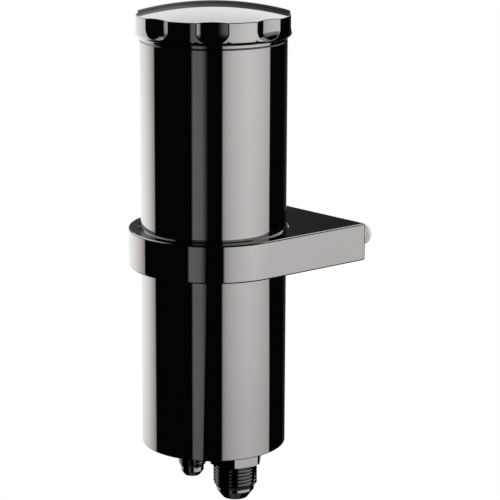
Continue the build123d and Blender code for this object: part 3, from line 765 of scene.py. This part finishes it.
def thread(crest, depth, pitch, low, high, end_radius, end_slope, core, finish):
    """Closed thread between two heights about Z, in millimetres; depth is negative for a nut's thread."""
    turns = math.ceil((high - low) / pitch) + 2
    made = bpy.data.objects.new("wound_strip", bpy.data.meshes.new("wound_strip"))
    bpy.context.scene.collection.objects.link(made)
    wrap = made.modifiers.new("thread", "NODES")
    wrap.node_group = THREADS
    sockets = {item.name: item.identifier for item in THREADS.interface.items_tree if item.in_out == "INPUT"}
    values = {
        "Crest": crest * MM, "Depth": depth * MM, "Pitch": pitch * MM, "Low": low * MM, "High": high * MM,
        "End Radius": end_radius * MM, "End Slope": end_slope, "Flank Start": CREST_SHARE / 2,
        "Flank End": 0.5 - ROOT_SHARE / 2, "Turns": float(turns), "Columns": THREAD_COLUMNS + 1,
        "Rows": ROWS_PER_TURN * turns + 1, "Finish": finish,
    }
    for socket, value in values.items():
        wrap[sockets[socket]] = value
    apply_modifiers(made)
    mesh = bmesh.new()
    mesh.from_mesh(made.data)
    discard(made)
    bmesh.ops.scale(mesh, verts=mesh.verts, vec=(1 / MM, 1 / MM, 1 / MM))
    bmesh.ops.remove_doubles(mesh, verts=mesh.verts, dist=1e-3)
    bmesh.ops.dissolve_degenerate(mesh, edges=mesh.edges, dist=1e-4)
    open_edges = [edge for edge in mesh.edges if len(edge.link_faces) == 1]
    inner = bmesh.ops.extrude_edge_only(mesh, edges=open_edges)
    for vert in inner["geom"]:
        if isinstance(vert, bmesh.types.BMVert):
            share = core / math.hypot(vert.co.x, vert.co.y)
            vert.co.x *= share
            vert.co.y *= share
    walls = [edge for edge in mesh.edges if len(edge.link_faces) == 1]
    bmesh.ops.bridge_loops(mesh, edges=walls)
    mark_sharp(clean(mesh), THREAD_SHARP_ANGLE)
    return mesh


def finish_piece(made, nodes=(), body="reservoir", slot="chromed_aluminium", finish=None):
    """Gives a piece its finish, its body, and the solids that it stands for."""
    made.data.materials.clear()
    made.data.materials.append(finish or FINISHES[slot])
    for face in made.data.polygons:
        face.material_index = 0
    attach(made, body)
    if nodes:
        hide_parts(*nodes)


def port_cutter(sizes):
    """Recess, thread and passage of one port."""
    thread_r = sizes["thread"] / 2
    recess_r = thread_r + 2 * SEAL_CLEARANCE
    recess_top = BOTTOM + sizes["seal"] + 2 * SEAL_CLEARANCE
    return lathe([
        (0, BOTTOM - OVERCUT),
        (recess_r, BOTTOM - OVERCUT),
        (recess_r, recess_top),
        (thread_r + FIT_CLEARANCE, recess_top),
        (thread_r + FIT_CLEARANCE, BOTTOM + sizes["stem"]),
        (sizes["passage"] / 2, BOTTOM + sizes["stem"]),
        (sizes["passage"] / 2, FLOOR + OVERCUT),
        (0, FLOOR + OVERCUT),
    ], even_angles(SMALL_COLUMNS), closed=False)


def build_can():
    """Can: outside with softly broken edges, mouth, bore, snap ring groove, ledge, sump and ports."""
    ledge_radius = BORE_RADIUS - LEDGE_WIDTH
    outline = [
        (0, BOTTOM),
        (TUBE_RADIUS, BOTTOM, EDGE_BREAK),
        (TUBE_RADIUS, TOP, MOUTH_EDGE),
        (MOUTH_RADIUS + MOUTH_CHAMFER, TOP),
        (MOUTH_RADIUS, TOP - MOUTH_CHAMFER),
        (MOUTH_RADIUS, TOP - MOUTH_DEPTH + MOUTH_STEP),
        (BORE_RADIUS, TOP - MOUTH_DEPTH),
        (BORE_RADIUS, BAFFLE_TOP + SNAP_GROOVE_HEIGHT),
        (BORE_RADIUS + SNAP_GROOVE_DEPTH, BAFFLE_TOP + SNAP_GROOVE_HEIGHT),
        (BORE_RADIUS + SNAP_GROOVE_DEPTH, BAFFLE_TOP),
        (BORE_RADIUS, BAFFLE_TOP),
        (BORE_RADIUS, LEDGE),
        (ledge_radius, LEDGE),
        (ledge_radius, FLOOR, FLOOR_CORNER),
        (0, FLOOR),
    ]
    can = make_object("can", clean(lathe(rounded(outline), even_angles(CAN_COLUMNS), closed=False)))
    for sizes in (FEED, RETURN):
        combine(can, port_cutter(sizes), sizes["x"])
    combine(can, rod(PIPE_RADIUS + FIT_CLEARANCE, PIPE_LOW, FLOOR + OVERCUT), RETURN["x"])
    weighted(can)
    finish_piece(can, ["reservoir_body"])


def build_mouth_thread():
    """Thread in the can's mouth, on the inside of its wall."""
    mesh = thread(
        MOUTH_RADIUS - MOUTH_RIDGE, -MOUTH_RIDGE, CAP_PITCH,
        TOP - MOUTH_DEPTH + MOUTH_STEP, TOP - MOUTH_CHAMFER,
        MOUTH_RADIUS, -1.0, MOUTH_RADIUS + MOUTH_BACKING, FINISHES["chromed_aluminium"],
    )
    finish_piece(make_object("can_mouth_thread", mesh))


def base_radius(height):
    """Radius of the cap's grip without scallops: a cylinder, rounded in towards the can."""
    below = GRIP_LOW + GRIP_ROUND - height
    if below <= 0:
        return CAP_RADIUS
    return TUBE_RADIUS + math.sqrt(max(GRIP_ROUND ** 2 - below ** 2, 0))


def cutter_radius_at(height):
    """Radius of the bull-nosed cutter at a height, or None below its end."""
    over = height - CUTTER_LOW
    if over <= 0:
        return None
    if over >= CUTTER_CORNER:
        return CUTTER_RADIUS
    nose = math.sqrt(CUTTER_CORNER ** 2 - (CUTTER_CORNER - over) ** 2)
    return CUTTER_RADIUS - CUTTER_CORNER + nose


def grip_radius(direction, height):
    """Radius of the grip at a direction from the middle of a scallop, with the scallop's edge softened."""
    base = base_radius(height)
    cutter = cutter_radius_at(height)
    beside = CUTTER_REACH * math.sin(direction)
    if cutter is None or abs(beside) >= cutter:
        return base
    cut = CUTTER_REACH * math.cos(direction) - math.sqrt(cutter ** 2 - beside ** 2)
    blend = 0.5 * RIM_ROUND
    gap = max(blend - abs(cut - base), 0) / blend
    return min(cut, base) - gap * gap * blend / 4


def dome_height(radius):
    return CAP_APEX - DOME_RADIUS + math.sqrt(DOME_RADIUS ** 2 - radius ** 2)


def spot_at(direction, radius, height):
    return Vector((radius * math.cos(direction), radius * math.sin(direction), height))


def grip_point(direction, height):
    return spot_at(direction, grip_radius(direction, height), height)


def rim_point(direction, share):
    """Point on the rounding between the grip and the dome; share runs from the grip, 0, to the dome, 1."""
    radius = grip_radius(direction, SIDE_TOP)
    height = dome_height(radius)
    inner = radius - RIM_ROUND
    low = Vector((radius, height - RIM_ROUND))
    middle = Vector((radius, height))
    high = Vector((inner, dome_height(inner)))
    place = low * (1 - share) ** 2 + middle * 2 * share * (1 - share) + high * share ** 2
    return spot_at(direction, *place)


def surface_normal(point_at, first, second, step=1e-4):
    """Outward normal of a surface given by two numbers."""
    along = point_at(first + step, second) - point_at(first - step, second)
    across = point_at(first, second + step) - point_at(first, second - step)
    normal = along.cross(across).normalized()
    spot = point_at(first, second)
    outward = Vector((spot.x, spot.y, 0))
    return normal if normal.dot(outward) > 0 else -normal


def scallop_half_outline():
    """Edge of a scallop on the unrolled grip, from its lowest point up to where its side is straight."""
    low = CUTTER_LOW
    high = CUTTER_LOW + CUTTER_CORNER
    for _ in range(50):
        middle = (low + high) / 2
        if CUTTER_REACH - cutter_radius_at(middle) > base_radius(middle):
            low = middle
        else:
            high = middle
    start = math.acos(1 - (high - CUTTER_LOW) / CUTTER_CORNER)
    points = []
    steps = 30
    for step in range(steps + 1):
        nose_angle = start + (math.pi / 2 - start) * (step / steps) ** 2
        height = CUTTER_LOW + CUTTER_CORNER * (1 - math.cos(nose_angle))
        cutter = cutter_radius_at(height)
        base = base_radius(height)
        cosine = (base ** 2 + CUTTER_REACH ** 2 - cutter ** 2) / (2 * base * CUTTER_REACH)
        points.append(Vector((CAP_RADIUS * math.acos(min(cosine, 1)), height)))
    return points


# Fineness of the grip: close rows beside the scallops' edges, wide ones elsewhere
EDGE_OFFSETS = (-0.75, -0.42, -0.26, -0.13, 0.0, 0.13, 0.26, 0.42, 0.75)
SECTOR_LOW = GRIP_LOW + 0.45 * GRIP_ROUND
COARSE_STEP = 1.1
SIDE_ROWS = 8
CAP_RIM_STEPS = 5
DOME_RINGS = 16


def sector_columns(edge):
    """Places along the unrolled sector where its columns stand: close together at the scallop's edges."""
    half = CAP_RADIUS * math.pi / SCALLOPS
    inside = edge + EDGE_OFFSETS[0]
    outside = edge + EDGE_OFFSETS[-1]
    count_in = round(inside / COARSE_STEP)
    count_out = round((half - outside) / COARSE_STEP)
    right = [inside * index / count_in for index in range(count_in)]
    right += [edge + offset for offset in EDGE_OFFSETS]
    right += [outside + (half - outside) * index / count_out for index in range(1, count_out + 1)]
    return [-place for place in reversed(right[1:])] + right


def sector_plan():
    """Flat points and triangles of one eighth of the grip, and the columns along its upper edge."""
    half_outline = scallop_half_outline()
    edge, straight_low = half_outline[-1]
    columns = sector_columns(edge)
    tops = [rim_point(place / CAP_RADIUS, 0).z for place in columns]
    half = columns[-1]
    lows = [SECTOR_LOW + (tops[-1] - SECTOR_LOW) * index / SIDE_ROWS for index in range(1, SIDE_ROWS)]
    border = [Vector((place, SECTOR_LOW)) for place in columns]
    border += [Vector((half, height)) for height in lows]
    border += [Vector((place, height)) for place, height in zip(reversed(columns), reversed(tops))]
    border += [Vector((-half, height)) for height in reversed(lows)]
    points = list(border)
    line = [Vector((-spot.x, spot.y)) for spot in reversed(half_outline[1:])] + half_outline
    near_line = list(line)
    for index, spot in enumerate(line):
        along = line[min(index + 1, len(line) - 1)] - line[max(index - 1, 0)]
        away = Vector((along.y, -along.x)).normalized()
        points.extend(spot + away * offset for offset in EDGE_OFFSETS)
    for side in (-1, 1):
        for index in range(1, SIDE_ROWS):
            height = straight_low + (min(tops) - straight_low) * index / SIDE_ROWS
            near_line.append(Vector((side * edge, height)))
            points.extend(Vector((side * (edge + offset), height)) for offset in EDGE_OFFSETS)
    coarse_rows = round((max(tops) - SECTOR_LOW) / COARSE_STEP)
    for place, top_here in list(zip(columns, tops))[1:-1]:
        if min(abs(place - edge), abs(place + edge)) < EDGE_OFFSETS[-1] + 0.05:
            continue
        for index in range(1, coarse_rows):
            spot = Vector((place, SECTOR_LOW + (top_here - SECTOR_LOW) * index / coarse_rows))
            if min((spot - other).length for other in near_line) > EDGE_OFFSETS[-1] + 0.3:
                points.append(spot)
    edges = [(index, (index + 1) % len(border)) for index in range(len(border))]
    flat, _, faces, *_ = delaunay_2d_cdt(points, edges, [], 1, 1e-4)
    return flat, faces, columns


def normal_layers(mesh):
    """Layers for the vertices' normals as worked out from the form, and for whether they are known."""
    return mesh.verts.layers.float_vector.new("exact"), mesh.verts.layers.int.new("known")


def build_outside():
    """Scalloped grip, rim and dome of the cap, and the columns of one of its sectors."""
    flat, faces, columns = sector_plan()
    mesh = bmesh.new()
    exact, known = normal_layers(mesh)
    dome_centre = Vector((0, 0, CAP_APEX - DOME_RADIUS))
    directions = [place / CAP_RADIUS for place in columns]
    grip = []
    for point in flat:
        place = (point.x / CAP_RADIUS, point.y)
        grip.append((grip_point(*place), surface_normal(grip_point, *place)))
    bands = []
    for step in range(CAP_RIM_STEPS + 1):
        share = step / CAP_RIM_STEPS
        inner_share = min(max(share, 0.01), 0.99)
        bands.append([
            (rim_point(direction, share), surface_normal(rim_point, direction, inner_share))
            for direction in directions
        ])
    for ring in range(1, DOME_RINGS):
        band = []
        for direction in directions:
            radius = (grip_radius(direction, SIDE_TOP) - RIM_ROUND) * (1 - ring / DOME_RINGS)
            spot = spot_at(direction, radius, dome_height(radius))
            band.append((spot, (spot - dome_centre).normalized()))
        bands.append(band)
    apex = (Vector((0, 0, CAP_APEX)), Vector((0, 0, 1)))
    for index in range(SCALLOPS):
        turn = Matrix.Rotation(SCALLOP_PHASE + math.tau * index / SCALLOPS, 3, "Z")

        def add_vert(spot, normal):
            vert = mesh.verts.new(turn @ spot)
            vert[exact] = turn @ normal
            vert[known] = 1
            return vert

        verts = [add_vert(*place) for place in grip]
        for face in faces:
            mesh.faces.new([verts[corner] for corner in face])
        rows = [[add_vert(*place) for place in band] for band in bands]
        rows.append([add_vert(*apex)] * len(columns))
        skin(mesh, rows, closed=False)
    return mesh, columns


def build_underside(columns):
    """Turned part of the cap, from the grip's rounding down, with columns that meet the sectors'."""
    angles = [
        SCALLOP_PHASE + math.tau * index / SCALLOPS + place / CAP_RADIUS
        for index in range(SCALLOPS) for place in columns[:-1]
    ]
    under = lathe(cap_underside(), angles, closed=False)
    exact, known = normal_layers(under)
    for vert in under.verts:
        radius = math.hypot(vert.co.x, vert.co.y)
        if radius > TUBE_RADIUS + 0.01:
            out = (radius - TUBE_RADIUS) / GRIP_ROUND / radius
            down = (vert.co.z - GRIP_LOW - GRIP_ROUND) / GRIP_ROUND
            vert[exact] = (out * vert.co.x, out * vert.co.y, down)
            vert[known] = 1
    return under


def build_cap():
    """Cap: scalloped grip and dome with exact shading normals, and the turned underside."""
    mesh, columns = build_outside()
    under = build_underside(columns)
    scratch = bpy.data.meshes.new("underside")
    under.to_mesh(scratch)
    under.free()
    mesh.from_mesh(scratch)
    bpy.data.meshes.remove(scratch)
    cap = make_object("cap", clean(mesh))
    weighted(cap)
    set_exact_normals(cap)
    finish_piece(cap, ["filler_cap"], "cap")


def cap_underside():
    """Outline of the cap's turned part, from the grip's rounding down, round the plug and up the pocket."""
    start = math.asin((GRIP_LOW + GRIP_ROUND - SECTOR_LOW) / GRIP_ROUND)
    outline = []
    for step in range(RIM_STEPS + 1):
        angle = start + (math.pi / 2 - start) * step / RIM_STEPS
        outline.append((
            TUBE_RADIUS + GRIP_ROUND * math.cos(angle), GRIP_LOW + GRIP_ROUND * (1 - math.sin(angle))
        ))
    groove_low = SEAL_HEIGHT - SEAL_GROOVE_HEIGHT / 2
    groove_high = SEAL_HEIGHT + SEAL_GROOVE_HEIGHT / 2
    outline += rounded([
        (TUBE_RADIUS, GRIP_LOW),
        (TUBE_RADIUS, TOP, LAND_EDGE),
        (CAP_RELIEF_RADIUS, TOP),
        (CAP_RELIEF_RADIUS, CAP_THREAD_HIGH),
        (CAP_CORE_RADIUS, CAP_THREAD_HIGH),
        (CAP_CORE_RADIUS, CAP_THREAD_LOW),
        (PLUG_RADIUS, CAP_THREAD_LOW),
        (PLUG_RADIUS, groove_high),
        (SEAL_GROOVE_RADIUS, groove_high),
        (SEAL_GROOVE_RADIUS, groove_low),
        (PLUG_RADIUS, groove_low),
        (PLUG_RADIUS, PLUG_LOW + PLUG_CHAMFER),
        (PLUG_RADIUS - PLUG_CHAMFER, PLUG_LOW),
        (POCKET_RADIUS, PLUG_LOW),
        (POCKET_RADIUS, POCKET_ROOF, POCKET_CORNER),
        (POST_RADIUS, POCKET_ROOF),
        (POST_RADIUS, POST_END),
        (0, POST_END),
    ])
    return outline


def set_exact_normals(made):
    """Sets the normals that were worked out from the form, and keeps the others as they are."""
    data = made.data
    known = [item.value for item in data.attributes["known"].data]
    exact = [Vector(item.vector) for item in data.attributes["exact"].data]
    normals = [Vector(item.vector) for item in data.corner_normals]
    for index, loop in enumerate(data.loops):
        if known[loop.vertex_index]:
            normals[index] = exact[loop.vertex_index]
    data.normals_split_custom_set(normals)
    for name in ("known", "exact"):
        data.attributes.remove(data.attributes[name])


def build_cap_thread():
    """Thread round the cap's plug, half a turn on from the can's, so that its ridge lies in that groove."""
    mesh = thread(
        CAP_CORE_RADIUS + CAP_RIDGE, CAP_RIDGE, CAP_PITCH, CAP_THREAD_LOW, CAP_THREAD_HIGH,
        CAP_CORE_RADIUS, 1.0, CAP_CORE_RADIUS - PLUG_BACKING, FINISHES["chromed_aluminium"],
    )
    bmesh.ops.rotate(mesh, verts=mesh.verts, matrix=Matrix.Rotation(math.pi, 3, "Z"))
    finish_piece(make_object("cap_thread", mesh), body="cap")


def bracket_outline():
    """Plan of the bracket about the can's axis: ring, tangent sides and the mounting face."""
    face_y = -AXIS_Y
    corner_distance = math.hypot(FACE_HALF, face_y)
    tangent = math.atan2(FACE_HALF, face_y) + math.acos(RING_RADIUS / corner_distance)
    face = rounded([
        (RING_RADIUS * math.sin(tangent), RING_RADIUS * math.cos(tangent)),
        (FACE_HALF, face_y, BRACKET_CORNER),
        (-FACE_HALF, face_y, BRACKET_CORNER),
        (-RING_RADIUS * math.sin(tangent), RING_RADIUS * math.cos(tangent)),
    ], steps=8)
    sweep = math.tau - 2 * tangent
    angles = [-tangent - sweep * step / RING_STEPS for step in range(1, RING_STEPS)]
    return face + [Vector((RING_RADIUS * math.sin(angle), RING_RADIUS * math.cos(angle))) for angle in angles]


def outline_normals(outline):
    """Outward normals of a closed plan whose points are close together on its round stretches."""
    normals = []
    for index, point in enumerate(outline):
        before = (point - outline[index - 1]).normalized()
        after = (outline[(index + 1) % len(outline)] - point).normalized()
        along = (before + after).normalized()
        normals.append(Vector((along.y, -along.x)))
    if normals[0].dot(outline[0]) < 0:
        normals = [-normal for normal in normals]
    return normals


def fill_between(mesh, outer, inner):
    """Flat face between two closed rows of vertices."""
    edges = []
    for row in (outer, inner):
        edges += [mesh.edges.get((row[index - 1], vert)) for index, vert in enumerate(row)]
    bmesh.ops.triangle_fill(mesh, use_beauty=True, edges=edges)


def build_bracket():
    """Bracket: rounded outer edges, chamfered bore, countersunk screw holes in the mounting face."""
    outline = bracket_outline()
    normals = outline_normals(outline)
    mesh = bmesh.new()
    angles = [math.pi / 2 * step / RIM_STEPS for step in range(RIM_STEPS + 1)]
    rows = []
    for side, angle in [(-1, angle) for angle in reversed(angles)] + [(1, angle) for angle in angles]:
        inset = BRACKET_ROUND * (1 - math.cos(angle))
        height = side * (BRACKET_HALF - BRACKET_ROUND * (1 - math.sin(angle)))
        rows.append([
            mesh.verts.new((*(point - normal * inset), height)) for point, normal in zip(outline, normals)
        ])
    skin(mesh, rows)
    bore_rows = turned_rows(mesh, [
        (BRACKET_BORE + BORE_CHAMFER, -BRACKET_HALF),
        (BRACKET_BORE, -BRACKET_HALF + BORE_CHAMFER),
        (BRACKET_BORE, BRACKET_HALF - BORE_CHAMFER),
        (BRACKET_BORE + BORE_CHAMFER, BRACKET_HALF),
    ], even_angles(CAN_COLUMNS))
    skin(mesh, bore_rows)
    fill_between(mesh, rows[0], bore_rows[0])
    fill_between(mesh, rows[-1], bore_rows[-1])
    bracket = make_object("bracket", clean(mesh))
    for x in (-SCREW_OFFSET, SCREW_OFFSET):
        hole = lathe([
            (0, -SCREW_HOLE_DEPTH),
            (SCREW_HOLE_RADIUS, -SCREW_HOLE_DEPTH),
            (SCREW_HOLE_RADIUS, -COUNTERSINK),
            (SCREW_HOLE_RADIUS + COUNTERSINK + OVERCUT, OVERCUT),
            (0, OVERCUT),
        ], even_angles(HOLE_COLUMNS), closed=False)
        combine(bracket, facing_panel(hole, x))
    combine(bracket, facing_panel(rod(SCREW_HOLE_RADIUS, AXIS_Y, OVERCUT, HOLE_COLUMNS)))
    weighted(bracket)
    finish_piece(bracket, ["mounting_bracket"])


def build_fitting(name, node, sizes):
    """Male fitting: stem and neck in the port, hexagon, threaded shank, nose with its flare cone."""
    x = sizes["x"]
    thread_r = sizes["thread"] / 2
    nose_r = sizes["nose"] / 2
    tip_r = sizes["tip"] / 2
    neck_r = thread_r - sizes["seal"]
    neck_top = BOTTOM + sizes["seal"] + 2 * SEAL_CLEARANCE
    stem_top = BOTTOM + sizes["stem"]
    hex_low = BOTTOM - sizes["hex_height"]
    thread_low = hex_low - sizes["length"]
    nose_low = thread_low - sizes["nose_length"]
    tip = nose_low - (nose_r - tip_r) / math.tan(FLARE_ANGLE)
    depth = THREAD_SHARE * sizes["pitch"]
    root = min(thread_r - depth, nose_r)
    bore = sizes["bore"] / 2
    outline = rounded([
        (bore, stem_top),
        (thread_r - PORT_CHAMFER, stem_top),
        (thread_r, stem_top - PORT_CHAMFER),
        (thread_r, neck_top),
        (neck_r, neck_top),
        (neck_r, BOTTOM),
        (neck_r, hex_low),
        (root, hex_low),
        (root, thread_low),
        (nose_r, thread_low),
        (nose_r, nose_low, COLLAR_ROUND),
        (tip_r, tip, NOSE_BREAK),
        (bore, tip, NOSE_BREAK / 2),
    ])
    body = make_object(name, clean(lathe(outline, even_angles(SMALL_COLUMNS))), x)
    weighted(body)
    finish_piece(body, [node])

    corner_radius = sizes["hexagon"] / math.sqrt(3) * HEX_CORNER_SHARE
    blank = lathe([
        (0, BOTTOM + OVERCUT),
        (corner_radius, BOTTOM + OVERCUT),
        (corner_radius, hex_low + HEX_CHAMFER / 2),
        (corner_radius - HEX_CHAMFER, hex_low),
        (0, hex_low),
    ], even_angles(SMALL_COLUMNS), closed=False)
    bar = hexagon(sizes["hexagon"], hex_low - OVERCUT, BOTTOM, HEX_TURN, HEX_EDGE_ROUND)
    head = make_object(name + "_hexagon", clean(bar), x)
    combine(head, blank, x, operation="INTERSECT")
    combine(head, rod(neck_r - NECK_OVERLAP, hex_low - OVERCUT, BOTTOM + OVERCUT), x)
    weighted(head, HEX_SHARP_ANGLE)
    finish_piece(head)

    # The thread takes the darker thread chrome, whose colour holds painted shade of its grooves
    ridge = thread(
        thread_r, depth, sizes["pitch"], thread_low, hex_low, nose_r,
        math.tan(FLARE_ANGLE), nose_r - THREAD_BACKING, SHADED_THREAD_FINISH,
    )
    finish_piece(make_object(name + "_thread", ridge, x), finish=SHADED_THREAD_FINISH)


def build_mounting_screw(name, node, x):
    """Button head screw: domed head with a hexagon socket, threaded shank."""
    crown = []
    steps = 10
    out = Vector((HEAD_HEIGHT, HEAD_RADIUS - HEAD_FLAT)).normalized()
    for step in range(steps + 1):
        share = step / steps
        flank = Vector((HEAD_RADIUS, 0)).lerp(Vector((HEAD_FLAT, HEAD_HEIGHT)), share)
        crown.append(flank + out * 4 * HEAD_BULGE * share * (1 - share))
    depth = THREAD_SHARE * SCREW_PITCH
    root = SCREW_RADIUS - depth
    outline = [(0, -SCREW_LENGTH), (root, -SCREW_LENGTH), (root, 0), *crown, (0, HEAD_HEIGHT)]
    screw = make_object(name, clean(lathe(outline, even_angles(HEAD_COLUMNS), closed=False)), 0, 0)
    combine(screw, hexagon(SOCKET_WIDTH, HEAD_HEIGHT - SOCKET_DEPTH, HEAD_HEIGHT + OVERCUT), 0, 0)
    weighted(screw)
    ridge = thread(
        SCREW_RADIUS, depth, SCREW_PITCH, -SCREW_LENGTH, 0, root,
        1.0, root - THREAD_BACKING, FINISHES["plated_steel"],
    )
    ridge = make_object(name + "_thread", ridge, 0, 0)
    lay = Matrix.Translation((x * MM, SCREW_STANDOFF * MM, 0)) @ Matrix.Rotation(-math.pi / 2, 4, "X")
    for made, nodes in ((screw, [node]), (ridge, [])):
        made.data.transform(lay)
        finish_piece(made, nodes, slot="plated_steel")


def dress_solids():
    """Finishes of the solids that show as they are."""
    for row in frame["record"]["subparts"]:
        for material_slot in frame["nodes"][row["node"]].material_slots:
            material_slot.material = FINISHES[row["material_slot"]]


place_camera()
build_world()
build_floor()
build_tent()
FINISHES = make_materials()
# Chrome in a cut thread, darker than on the polished faces all over the thread: painted shade of the thread's
# grooves, where the plating is also thin
SHADED_THREAD_FINISH = metal("chrome_thread_painted_shade", "#949494", 0.05, 0.09, 0.6)
dress_solids()
build_can()
build_mouth_thread()
build_cap()
build_cap_thread()
build_bracket()
build_fitting("feed_connector", "feed_fitting", FEED)
build_fitting("return_connector", "return_fitting", RETURN)
build_mounting_screw("panel_screw_left", "mounting_screw_left", -SCREW_OFFSET)
build_mounting_screw("panel_screw_right", "mounting_screw_right", SCREW_OFFSET)

bpy.context.scene.view_settings.view_transform = "Standard"
